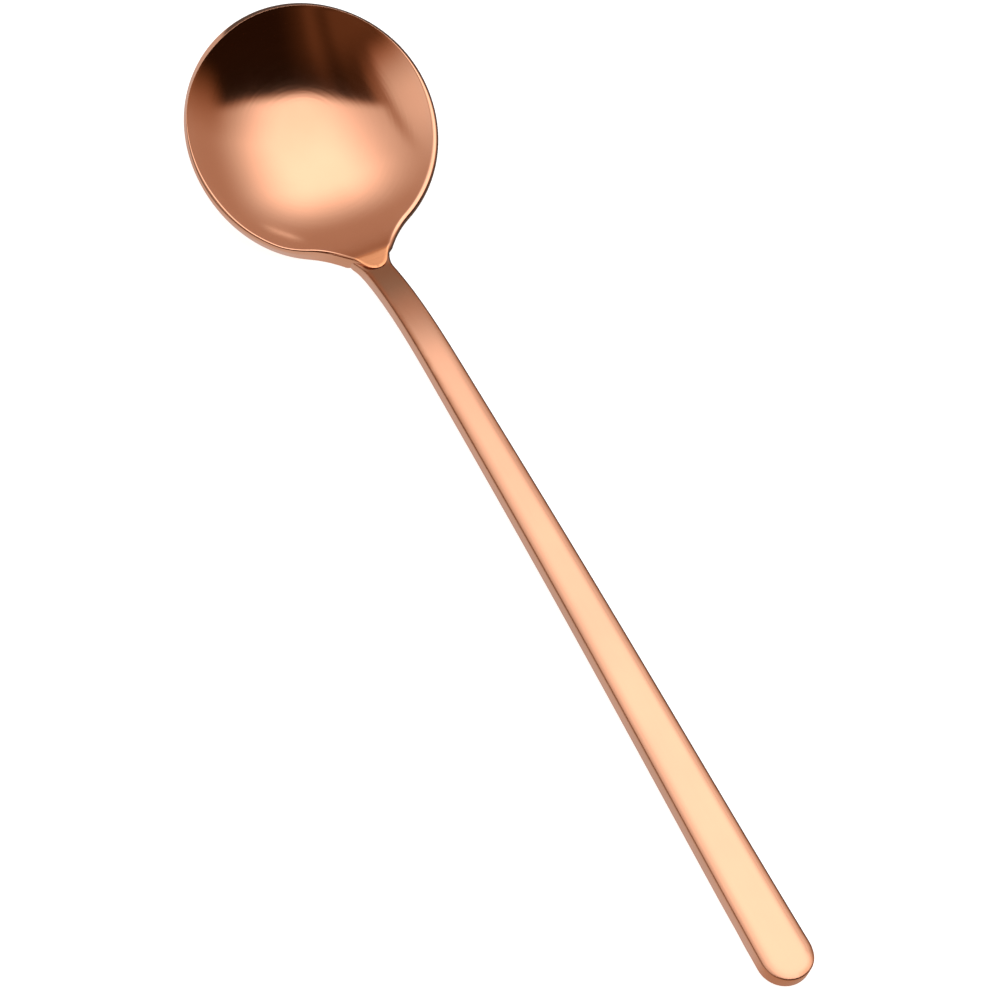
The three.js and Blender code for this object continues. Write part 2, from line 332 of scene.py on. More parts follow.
@dataclass
class PressedBowl:
    """Round dished bowl with a round tongue at its neck, pressed from one sheet."""

    length: float = 150.0 * MM
    inside_diameter: float = 34.4 * MM
    depth: float = 5.0 * MM
    wall: float = 1.2 * MM
    rim_tilt: float = math.radians(19.0)
    rest_depth: float = 0.12 * MM
    rim_rounding: float = 0.55 * MM
    left_reach: float = 0.68 * MM
    left_start: Span = (18.0, 42.0)
    left_end: Span = (115.0, 160.0)
    neck_reach: float = 0.28 * MM
    neck_reach_end: Span = (52.0, 80.0)
    reach_start: float = 3.0 * MM
    foot_rounding: float = 0.2 * MM
    tongue_half: float = 1.95 * MM
    tongue_length: float = 3.2 * MM
    tongue_pitch: float = math.radians(22.0)
    tongue_crispness: float = 0.1
    tongue_thinning: float = 0.85
    tongue_upright: float = 0.95
    tongue_fade: float = 2.2
    tongue_line: Span = (-0.1 * MM, 0.15 * MM)
    tongue_skin: Span = (0.04 * MM, 0.16 * MM)
    tip_crispness: float = 0.06
    tip_start: float = math.radians(70.0)
    tip_end: float = math.radians(125.0)
    neck_fillet: float = 16.0 * MM
    neck_margin: float = 1.2
    left_thickening: float = 2.0
    left_thick_end: Span = (22.0, 90.0)
    right_thinning: float = 0.7
    right_thin_end: Span = (105.0, 150.0)
    crease: float = 18.6 * MM
    crease_rounding: float = 0.1 * MM
    plain_share: float = 0.6
    warp_start: float = 9.0 * MM
    warp_end: float = 1.0 * MM
    wear_span: Span = (0.2 * MM, 1.2 * MM)
    neck_shade_span: Span = (-2.5 * MM, -0.5 * MM)
    dish_rows: int = 56
    dish_spacing: float = 1.4
    rim_rows: int = 12
    foot_rows: int = 6
    under_rows: int = 32
    under_spacing: float = 1.3
    neck_steps: int = 96
    round_steps: int = 250

    @cached_property
    def rim_radius(self) -> float:
        """Radius of the dish at its rim."""
        return self.inside_diameter / 2.0

    @cached_property
    def sphere(self) -> float:
        """Radius of the dish's own curve."""
        return (self.rim_radius**2 + self.depth**2) / (2.0 * self.depth)

    @cached_property
    def sphere_height(self) -> float:
        """Height of the dish's centre of curvature over the rim."""
        return self.sphere - self.depth

    @cached_property
    def rim_angle(self) -> float:
        """Angle of the rim at the dish's centre of curvature."""
        return math.asin(self.rim_radius / self.sphere)

    @cached_property
    def outer_radius(self) -> float:
        """Radius of the sheet's outer edge."""
        return self.rim_radius * (self.sphere + self.wall) / self.sphere

    @cached_property
    def tongue_reach(self) -> float:
        """Distance from the rim's centre to the end of the tongue."""
        return self.outer_radius + self.tongue_length

    @cached_property
    def tongue_centre(self) -> float:
        """Distance from the rim's centre to the centre of the tongue's round end."""
        return self.tongue_reach - self.tongue_half

    @cached_property
    def outline(self) -> NeckOutline:
        """Edge of the sheet at the neck."""
        return NeckOutline(self.rim_radius, self.tongue_centre, self.tongue_half, self.neck_fillet)

    @cached_property
    def neck_sector(self) -> float:
        """Angle on either side of the handle within which the sheet is drawn out."""
        return self.neck_margin * self.outline.neck_turn

    @cached_property
    def place(self) -> Matrix:
        """Place of the rim's plane in the spoon's frame."""
        outer = self.sphere + self.wall
        tip = outer * math.sin(self.rim_angle + self.rim_tilt)
        tip -= self.sphere_height * math.sin(self.rim_tilt)
        height = outer - self.rest_depth - self.sphere_height * math.cos(self.rim_tilt)
        turn = Matrix.Rotation(self.rim_tilt, 4, "Y")
        return Matrix.Translation((tip - self.length / 2.0, 0.0, height)) @ turn

    def sphere_z(self, radius: float) -> float:
        """Height of the dish's sphere over the rim at a distance from its axis."""
        return self.sphere_height - math.sqrt(self.sphere**2 - radius**2)

    def in_sheet(self, run: float, into: float) -> tuple[float, float]:
        """Point of the sheet's section.

        Args:
            run: distance along the sheet, out past the rim.
            into: depth in the sheet, from the inside of the dish.

        Returns:
            Distance from the bowl's axis and height over the rim.
        """
        radius = self.sphere + into
        angle = self.rim_angle + run / radius
        return radius * math.sin(angle), self.sphere_height - radius * math.cos(angle)

    def section(self) -> list[Point]:
        """Half section of the bowl.

        Returns:
            Points from the middle of the dish round the rim to the middle of the underside.
        """
        rim, foot, quarter = self.rim_rounding, self.foot_rounding, math.pi / 2.0
        sweep = self.sphere * self.rim_angle
        under = (self.sphere + self.wall) * self.rim_angle
        rows = []
        for step in range(self.dish_rows + 1):
            share = 1.0 - (1.0 - step / self.dish_rows) ** self.dish_spacing
            rows.append(((sweep - rim) * share - sweep, 0.0))
        for step in range(1, self.rim_rows + 1):
            angle = quarter * step / self.rim_rows
            rows.append((rim * math.sin(angle) - rim, rim - rim * math.cos(angle)))
        for step in range(self.foot_rows + 1):
            angle = quarter * step / self.foot_rows
            rows.append((foot * math.cos(angle) - foot, self.wall - foot + foot * math.sin(angle)))
        for step in range(1, self.under_rows + 1):
            share = (step / self.under_rows) ** self.under_spacing
            rows.append(((foot - under) * share - foot, self.wall))
        points = (self.in_sheet(run, into) for run, into in rows)
        return [(radius, 0.0, height) for radius, height in points]

    def tongueness(self, turn: float) -> float:
        """Share, from 0 to 1, in which a direction round the axis belongs to the tongue."""
        end = self.outline.neck_turn * self.outline.tongue_share
        return 1.0 - smooth(abs(turn), end, self.tongue_fade * end)

    def shape_edge(self, radius: float, height: float, turn: float) -> tuple[float, float]:
        """Change the sheet's edge round the bowl: a smaller rounding and, at the left, more reach.

        Args:
            radius: distance of a point of the section from the axis.
            height: its height over the rim.
            turn: angle from the direction of the handle.

        Returns:
            Its new distance and height.
        """
        from_centre = math.hypot(radius, self.sphere_height - height)
        into = from_centre - self.sphere
        run = (math.asin(radius / from_centre) - self.rim_angle) * from_centre
        share, rounding = self.edge_share(turn), self.rim_rounding
        if run >= -rounding and into <= self.wall - self.foot_rounding:
            if into <= rounding:
                run, into = run * share, into * share
            else:
                stretch = (self.wall - rounding * share) / (self.wall - rounding)
                into = rounding * share + (into - rounding) * stretch
        degrees = -math.degrees(turn)
        reach = self.left_reach * (1.0 - smooth(degrees, *self.left_end))
        reach += self.neck_reach * (1.0 - smooth(degrees, *self.neck_reach_end))
        reach *= smooth(degrees, *self.left_start) * smooth(run, -self.reach_start, 0.0)
        return self.in_sheet(run + reach * (1.0 - into / self.wall), into)

    def edge_share(self, turn: float) -> float:
        """Size of the edge's rounding in a direction round the axis, against the rim's own rounding."""
        neck = mix(1.0, self.tongue_crispness, self.tongueness(turn))
        return mix(neck, self.tip_crispness, smooth(abs(turn), self.tip_start, self.tip_end))

    def thickness_share(self, radius: float, turn: float) -> float:
        """Thickness of the sheet: more at the neck's left, less at its right and in the tongue.

        Args:
            radius: distance from the axis.
            turn: angle from the direction of the handle.

        Returns:
            Share of the wall.
        """
        degrees = math.degrees(turn)
        if degrees < 0.0:
            side = mix(self.left_thickening, 1.0, smooth(-degrees, *self.left_thick_end))
        else:
            side = mix(self.right_thinning, 1.0, smooth(degrees, *self.right_thin_end))
        share = mix(side, self.tongue_thinning, self.tongueness(turn))
        return mix(1.0, share, smooth(radius, self.warp_start, self.rim_radius))

    def sheet_top(self, place: Vector) -> float:
        """Height of the sheet's upper face over the plane of the rim.

        Args:
            place: place in that plane.

        Returns:
            Height on the dish's sphere or, past a straight crease, on the flatter tongue.
        """
        dish = self.sphere_z(math.hypot(place.x, place.y))
        if place.x < self.plain_share * self.crease:
            return dish
        tongue = self.sphere_z(self.crease)
        tongue += math.tan(self.tongue_pitch) * (place.x - self.crease)
        tongue += place.y**2 / (2.0 * math.sqrt(self.sphere**2 - self.crease**2))
        return soft_min(dish, tongue, self.crease_rounding)

    def draw_out(self, place: Vector) -> Vector:
        """Move that shapes the edge of the round dish and draws it out into the neck and the tongue.

        Args:
            place: place of a vertex of the round dish.

        Returns:
            Its move.
        """
        radius = math.hypot(place.x, place.y)
        if radius < self.warp_start:
            return Vector(CENTRE)
        turn = math.atan2(place.y, place.x)
        radial = NeckOutline.way(turn)
        radius, height = self.shape_edge(radius, place.z, turn)
        drop = (self.sphere_z(radius) - height) * self.thickness_share(radius, turn)
        if abs(turn) > self.neck_sector:
            return radius * radial + Vector((0.0, 0.0, self.sphere_z(radius) - drop)) - place
        tongue = self.tongueness(turn)
        edge, outward = self.outline.at(turn)
        inset = self.rim_radius - self.warp_end
        if radius > inset:
            past = radius - self.rim_radius
            if past > 0.0:
                past *= 1.0 - self.tongue_upright * tongue
            target = edge + past * outward
        else:
            pull = edge - self.warp_end * outward - inset * radial
            target = radius * radial + smooth(radius, self.warp_start, inset) * pull
        target.z = self.sheet_top(target) - drop
        return target - place

    def edge_wear_and_shade(self, place: Vector) -> float:
        """Share in which a place belongs to the handled edge of the rim."""
        flat = self.place.inverted() @ place
        return 1.0 - smooth(abs(math.hypot(flat.x, flat.y) - self.rim_radius), *self.wear_span)

    def neck_shade(self, place: Vector) -> float:
        """Share in which a place belongs to the neck, where the finish paints shade."""
        flat = self.place.inverted() @ place
        return smooth(flat.x - self.crease, *self.neck_shade_span) * (1.0 - self.on_tongue(place))

    def on_tongue(self, place: Vector) -> float:
        """Share in which a place belongs to the tongue's upper face, past the crease, where the finish
        paints a highlight.

        Args:
            place: place in the spoon's frame.

        Returns:
            Share from 0 to 1.
        """
        flat = self.place.inverted() @ place
        past = smooth(flat.x - self.crease, *self.tongue_line)
        if past == 0.0:
            return 0.0
        return past * (1.0 - smooth(self.sheet_top(flat) - flat.z, *self.tongue_skin))

    def build(self) -> Piece:
        """Model the bowl.

        Returns:
            The finished object, in the spoon's frame.
        """
        bowl = Bench.draw("pressed_bowl", self.section())
        side = (self.neck_sector, self.neck_steps)
        for angle, steps in (side, (2.0 * (math.pi - self.neck_sector), self.round_steps), side):
            bpy.ops.mesh.spin(steps=steps, angle=angle, center=CENTRE, axis=UP, use_auto_merge=False)
        Bench.heal()
        Bench.done()
        Bench.press(self.draw_out)
        Bench.settle(self.place)
        Bench.edit()
        Bench.pick(lambda place: place.z < 0.0)
        Bench.scale((1.0, 1.0, 0.0))
        Bench.done()
        bpy.ops.object.shade_smooth()
        # Painted for the finish: a rubbed band on the rim, painted shade round the neck and a painted
        # highlight on the tongue's upper face.
        Bench.mark("edge_wear_and_shade", self.edge_wear_and_shade)
        Bench.mark("neck_shade", self.neck_shade)
        Bench.mark("tongue", self.on_tongue)
        return bowl


@dataclass
class SideLine:
    """Side line of the handle: knee at the neck, bend up, and a long run down to the tail."""

    neck: Vector
    head_x: float
    head_lip_z: float
    head_slope: float
    neck_slope: float
    tail_x: float
    knee_length: float = 2.2 * MM
    bend_length: float = 20.0 * MM
    groove: float = 0.3 * MM
    neck_thickness: float = 2.1 * MM
    tail_thickness: float = 2.4 * MM
    rest_depth: float = 0.2 * MM
    neck_clearance: float = 0.15 * MM

    @cached_property
    def knee_end(self) -> float:
        """Place along X where the knee ends and the bend starts."""
        return self.neck.x + self.groove

    @cached_property
    def bend_end(self) -> float:
        """Place along X where the bend ends."""
        return self.knee_end + self.bend_length

    @cached_property
    def body_slope(self) -> float:
        """Slope of the long run, set by the height of the tail."""
        drop = self.tail_thickness - self.rest_depth - self.neck.z
        drop -= self.neck_slope * self.bend_length / 3.0
        return drop / (self.bend_length * 2.0 / 3.0 + self.tail_x - self.bend_end)

    @cached_property
    def thinning(self) -> float:
        """Loss of thickness along X."""
        return (self.neck_thickness - self.tail_thickness) / (self.tail_x - self.knee_end)

    @cached_property
    def rest_start(self) -> float:
        """Place along X from which the tail lies flat on the floor."""
        return self.tail_x - self.rest_depth / (-self.body_slope - self.thinning)

    def top(self, x: float) -> float:
        """Height of the edge of the top face.

        Args:
            x: place along the spoon.

        Returns:
            Height, with the slope changing evenly through the knee and ever less through the bend.
        """
        knee_start = self.knee_end - self.knee_length
        knee_z = self.neck.z - (self.head_slope + self.neck_slope) * self.knee_length / 2.0
        if x < knee_start:
            return knee_z + self.head_slope * (x - knee_start)
        if x < self.knee_end:
            run = x - knee_start
            turn = self.neck_slope - self.head_slope
            return knee_z + self.head_slope * run + turn * run**2 / (2.0 * self.knee_length)
        run = x - self.knee_end
        left = max(1.0 - run / self.bend_length, 0.0)
        rise = (self.neck_slope - self.body_slope) * self.bend_length / 3.0 * (1.0 - left**3)
        return self.neck.z + self.body_slope * run + rise

    def underside(self, x: float) -> float:
        """Height of the underside: a lip under the tongue, clear at the neck, flat at the tail.

        Args:
            x: place along the spoon.

        Returns:
            Height over the floor.
        """
        if x >= self.rest_start:
            return 0.0
        thickness = self.neck_thickness - self.thinning * max(0.0, x - self.knee_end)
        bar = max(self.top(x) - thickness, self.neck_clearance)
        thinned = min(max((self.knee_end - x) / (self.knee_end - self.head_x), 0.0), 1.0)
        return mix(bar, self.head_lip_z, thinned)


@dataclass
class HandleBar:
    """Long bar handle with a crowned top, rounded edges, a round tail and a recess for the tongue."""

    bowl: PressedBowl
    neck_width: float = 4.2 * MM
    tail_width: float = 7.4 * MM
    flare_share: float = 0.2
    head_flare: float = 4.6 * MM
    head_flare_start: float = 0.45 * MM
    head_tuck: float = 0.45 * MM
    tuck_run: float = 1.2 * MM
    edge: float = 0.8 * MM
    foot: float = 0.25 * MM
    crown: float = 0.22 * MM
    crown_reach: float = 1.2 * MM
    crown_run: float = 30.0 * MM
    neck_flattening: float = 0.7
    arch: float = 0.75 * MM
    tail_crispness: float = 0.35
    left_crispness: float = 0.55
    front_span: Span = (0.2, 0.85)
    drawn_thickness: float = 1.9 * MM
    tongue_proud: float = 0.12 * MM
    braze_thickness: float = 0.3 * MM
    recess_gap: float = 0.03 * MM
    head_lip: float = 0.45 * MM
    head_reach: float = 18.7 * MM
    head_pitch: float = math.radians(3.0)
    recess_pitch: float = math.radians(27.0)
    neck_rise: float = math.radians(20.0)
    edge_shade_start: Span = (0.02 * MM, 0.12 * MM)
    edge_shade_end: Span = (0.35 * MM, 0.9 * MM)
    left_edge_shade_loss: float = 0.85
    left_edge_shade_span: Span = (-20.0 * MM, 2.0 * MM)
    neck_shade_end: Span = (2.0 * MM, 9.0 * MM)
    neck_shade_edge: Span = (0.1 * MM, 0.5 * MM)
    cutter_depth: float = 12.0 * MM
    cutter_back: float = 4.0 * MM
    cutter_spread: float = 2.2
    crease_angle: float = math.radians(32.0)
    crown_rows: int = 8
    edge_rows: int = 8
    foot_rows: int = 6
    tail_steps: int = 48
    rest_rows: int = 4
    run_rows: int = 40
    bend_rows: int = 26
    head_rows: int = 10

    def tongue_plane(self, x: float) -> float:
        """Height of the tongue's seat over the plane of the rim."""
        return math.tan(self.recess_pitch) * max(0.0, x - self.bowl.rim_radius)

    def on_tongue(self, x: float, height: float) -> Vector:
        """Place in the spoon's frame of a point over the tongue's seat."""
        return self.bowl.place @ Vector((x, 0.0, self.tongue_plane(x) + height))

    @cached_property
    def side_line(self) -> SideLine:
        """Side line of the handle, from the tongue to the tail."""
        bowl = self.bowl
        head = self.on_tongue(self.head_reach, -bowl.wall - self.braze_thickness)
        return SideLine(
            neck=self.on_tongue(bowl.tongue_reach, -self.tongue_proud),
            head_x=head.x,
            head_lip_z=head.z - self.head_lip,
            head_slope=math.tan(self.head_pitch),
            neck_slope=math.tan(self.neck_rise),
            tail_x=bowl.length / 2.0,
        )

    @cached_property
    def tail_centre(self) -> float:
        """Place along X of the centre of the round tail."""
        return self.bowl.length / 2.0 - self.tail_width / 2.0

    def half_width(self, x: float) -> float:
        """Half of the handle's width.

        Args:
            x: place along the spoon.

        Returns:
            Half width, flared at the head to meet the neck.
        """
        line = self.side_line
        share = min(max((x - line.knee_end) / (self.tail_centre - line.knee_end), 0.0), 1.0)
        flare = mix(share, share**2, self.flare_share)
        back = max(line.neck.x + self.head_flare_start - x, 0.0)
        head = self.head_flare - math.sqrt(self.head_flare**2 - back**2)
        head -= self.head_tuck * (1.0 - smooth(x, line.head_x, line.head_x + self.tuck_run))
        return mix(self.neck_width, self.tail_width, flare) / 2.0 + head

    def section(self) -> list[Point]:
        """Half of the cross-section at the tail's centre, drawn at a small thickness.

        Returns:
            Points from the middle of the top face round the edge to the middle of the underside.
        """
        half, edge, foot, top = self.tail_width / 2.0, self.edge, self.foot, self.drawn_thickness
        points = [(0.0, top + self.crown)]
        for step in range(self.crown_rows):
            share = 1.0 - step / self.crown_rows
            rise = self.crown * (1.0 - (1.0 - share) ** 2)
            points.append((half - edge - self.crown_reach * share, top + rise))
        shoulder = math.pi / 2.0 - math.atan(2.0 * self.crown / self.crown_reach)
        for step in range(self.edge_rows + 1):
            angle = shoulder * (1.0 - step / self.edge_rows)
            points.append((half - edge + edge * math.cos(angle), top - edge + edge * math.sin(angle)))
        for step in range(self.foot_rows + 1):
            angle = -math.pi / 2.0 * step / self.foot_rows
            points.append((half - foot + foot * math.cos(angle), foot + foot * math.sin(angle)))
        points.append((0.0, 0.0))
        return [(self.tail_centre, y, z) for y, z in points]

    def stations(self) -> list[float]:
        """Places of the handle's rows.

        Returns:
            Places along X, from the tail's centre to the head.
        """
        line = self.side_line

        def steps(start: float, end: float, count: int) -> Iterable[float]:
            """Even steps from a start, which is left out, to an end."""
            return (mix(start, end, (index + 1) / count) for index in range(count))

        return [
            *steps(self.tail_centre, line.rest_start, self.rest_rows),
            *steps(line.rest_start, line.bend_end, self.run_rows),
            *steps(line.bend_end, line.knee_end, self.bend_rows),
            *steps(line.knee_end, line.head_x, self.head_rows),
        ]

    def draw_body(self) -> None:
        """Extrude the section from the tail's centre to the head, narrowing each row, in edit mode."""
        here, half = self.tail_centre, self.tail_width / 2.0
        Bench.pick(lambda place: abs(place.x - self.tail_centre) < TOUCH)
        for station in self.stations():
            bpy.ops.mesh.extrude_edges_move(
                TRANSFORM_OT_translate={"value": (station - here, 0.0, 0.0)}
            )
            narrower = half - self.half_width(station)
            for side in (1.0, -1.0):
                Bench.pick(lambda place: abs(place.x - station) < TOUCH and place.y * side > TOUCH)
                Bench.slide((0.0, -side * narrower, 0.0))
            Bench.pick(lambda place: abs(place.x - station) < TOUCH)
            here, half = station, self.half_width(station)
        bpy.ops.mesh.edge_face_add()

    def bow(self, x: float) -> float:
        """Rise of the long run's gentle arch, which ends before the flat under the tail.

        Args:
            x: place along the spoon.

        Returns:
            Rise over the straight run.
        """
        line = self.side_line
        share = min(max((x - line.knee_end) / (line.rest_start - line.knee_end), 0.0), 1.0)
        return self.arch * 16.0 * (share * (1.0 - share)) ** 2

    def rise(self, place: Vector) -> Vector:
        """Move that lays a drawn row on the side line, with a flatter crown near the neck.

        Args:
            place: place of a vertex of the drawn bar.

        Returns:
            Its move.
        """
        line = self.side_line
        bow = self.bow(place.x)
        if place.z < self.drawn_thickness / 2.0:
            return Vector((0.0, 0.0, line.underside(place.x) + bow))
        flat = 1.0 - smooth(place.x, line.knee_end, line.knee_end + self.crown_run)
        crown = max(place.z - self.drawn_thickness, 0.0) * self.neck_flattening * flat
        lift = line.top(place.x) - self.drawn_thickness - crown + bow
        return self.sharpen_edge(place) + Vector((0.0, 0.0, lift))

    def sharpen_edge(self, place: Vector) -> Vector:
        """Move that makes the rounding of the top edge smaller at the left and round the tail.

        Args:
            place: place of a vertex of the drawn bar's top.

        Returns:
            Its move.
        """
        beyond = max(place.x - self.tail_centre, 0.0)
        reach = math.hypot(beyond, place.y)
        inner = self.half_width(place.x) - self.edge
        still = inner - self.crown_reach
        if reach <= still:
            return Vector(CENTRE)
        side = self.left_crispness if place.y < 0.0 else 1.0
        share = mix(side, self.tail_crispness, smooth(beyond / reach, *self.front_span))
        sunk = max(self.drawn_thickness - place.z, 0.0) * (1.0 - share)
        if reach > inner:
            pushed = (self.edge + inner - reach) * (1.0 - share)
        else:
            pushed = self.edge * (1.0 - share) * (reach - still) / self.crown_reach
        return Vector((beyond * pushed / reach, place.y * pushed / reach, sunk))

    def edge_wear_and_shade(self, place: Vector) -> float:
        """Share in which a place belongs to the painted shade along the edges of the bar's top, fainter
        at the left.

        Args:
            place: place in the spoon's frame.

        Returns:
            Share from 0 to 1.
        """
        beyond = max(place.x - self.tail_centre, 0.0)
        inward = self.half_width(place.x) - math.hypot(place.y, beyond)
        band = smooth(inward, *self.edge_shade_start) * (1.0 - smooth(inward, *self.edge_shade_end))
        if place.y > 0.0:
            return band
        return band * (1.0 - self.left_edge_shade_loss * smooth(place.x, *self.left_edge_shade_span))

    def neck_shade(self, place: Vector) -> float:
        """Share in which a place belongs to the top of the neck, where the finish paints shade."""
        along = 1.0 - smooth(place.x - self.side_line.knee_end, *self.neck_shade_end)
        return along * smooth(self.half_width(place.x) - abs(place.y), *self.neck_shade_edge)

    def recess_cutter(self) -> Piece:
        """Model the block that cuts the tongue's recess, with its walls square to the rim's plane.

        Returns:
            The block, to be removed after the cut.
        """
        bowl = self.bowl
        Bench.clear()
        bpy.ops.mesh.primitive_cylinder_add(
            vertices=128,
            radius=bowl.tongue_half + self.recess_gap,
            depth=self.cutter_depth,
            location=(bowl.tongue_centre, 0.0, 0.0),
        )
        Bench.settle()
        Bench.edit()
        Bench.pick(lambda place: place.x < bowl.tongue_centre - MERGE)
        Bench.slide((-self.cutter_back, 0.0, 0.0))
        Bench.scale((1.0, self.cutter_spread, 1.0))
        seat = -bowl.wall - self.braze_thickness
        Bench.cut((bowl.rim_radius, 0.0, seat), (math.tan(self.recess_pitch), 0.0, -1.0))
        Bench.done()
        return Bench.settle(bowl.place)

    def build(self) -> Piece:
        """Model the handle.

        Returns:
            The finished object, in the spoon's frame.
        """
        handle = Bench.draw("handle_bar", self.section())
        centre = (self.tail_centre, 0.0, 0.0)
        bpy.ops.mesh.spin(steps=self.tail_steps, angle=math.pi, center=centre, axis=UP)
        Bench.heal()
        self.draw_body()
        Bench.heal()
        Bench.done()
        Bench.press(self.rise)
        block = self.recess_cutter()
        Bench.hold(handle)
        Bench.apply("BOOLEAN", object=block, operation="DIFFERENCE", solver="EXACT")
        bpy.data.objects.remove(block)
        bpy.ops.object.shade_smooth_by_angle(angle=self.crease_angle)
        # Painted for the finish: painted shade along the top's edges and at the neck.
        Bench.mark("edge_wear_and_shade", self.edge_wear_and_shade)
        Bench.mark("neck_shade", self.neck_shade)
        return handle


@dataclass
class BrazeLine:
    """Braze between the tongue and the handle: a thin plate, and a hollow bead in the groove."""

    handle: HandleBar
    plate_radius: float = 1.93 * MM
    plate_half: float = 1.8 * MM
    plate_start: float = 0.1 * MM
    bead_inner: float = 1.93 * MM
    bead_outer: float = 2.2 * MM
    bead_foot: float = 0.8 * MM
    bead_top: float = 1.37 * MM
    bead_edge: float = 1.25 * MM
    bead_sweep: float = math.radians(140.0)
    bead_rows: int = 6
    bead_steps: int = 36
    crease_angle: float = math.radians(50.0)

    def build_plate(self) -> Piece:
        """Model the thin plate under the tongue.

        Returns:
            The plate, seated on z = 0 round the tongue's axis.
        """
        thickness = self.handle.braze_thickness
        Bench.clear()
        bpy.ops.mesh.primitive_cylinder_add(
            vertices=96, radius=self.plate_radius, depth=thickness, location=(0.0, 0.0, thickness / 2.0)
        )
        plate = Bench.settle()
        Bench.edit()
        Bench.cut((self.plate_start, 0.0, 0.0), (-1.0, 0.0, 0.0))
        for side in (1.0, -1.0):
            Bench.cut((0.0, side * self.plate_half, 0.0), (0.0, side, 0.0))
        Bench.done()
        return plate

    def build_bead(self) -> Piece:
        """Model the bead in the groove, by spinning its section round the tongue's end.

        Returns:
            The bead, round the tongue's axis.
        """
        inner, outer = self.bead_inner, self.bead_outer
        section = [(inner, 0.0, self.bead_foot), (outer, 0.0, self.bead_foot)]
        for step in range(self.bead_rows + 1):
            share = step / self.bead_rows
            height = mix(self.bead_edge, self.bead_top, share**2)
            section.append((mix(outer, inner, share), 0.0, height))
        bead = Bench.draw("braze_bead", section)
        bpy.ops.mesh.edge_face_add()
        bpy.ops.transform.rotate(value=self.bead_sweep / 2.0, orient_axis="Z", center_override=CENTRE)
        turned = bmesh.from_edit_mesh(bead.data).verts[:]
        first_side = 1.0 if sum(vertex.co.y for vertex in turned) > 0.0 else -1.0
        angle = first_side * self.bead_sweep
        bpy.ops.mesh.spin(steps=self.bead_steps, angle=angle, center=CENTRE, axis=UP)
        Bench.heal()
        Bench.done()
        return bead

    def build(self) -> Piece:
        """Model the braze.

        Returns:
            The finished object, in the spoon's frame.
        """
        bowl = self.handle.bowl
        bead = self.build_bead()
        braze = self.build_plate()
        bead.select_set(True)
        bpy.ops.object.join()
        braze.name = braze.data.name = "braze_line"
        seat = self.handle.on_tongue(bowl.tongue_centre, -bowl.wall - self.handle.braze_thickness)
        tilt = Matrix.Rotation(bowl.rim_tilt - self.handle.recess_pitch, 4, "Y")
        Bench.settle(Matrix.Translation(seat) @ tilt)
        bpy.ops.object.shade_smooth_by_angle(angle=self.crease_angle)
        return braze


@dataclass(frozen=True)
class Tint:
    """Linear colour."""

    red: float
    green: float
    blue: float

    @property
    def rgba(self) -> tuple[float, float, float, float]:
        """Colour as a socket takes it."""
        return (self.red, self.green, self.blue, 1.0)


WHITE = Tint(1.0, 1.0, 1.0)


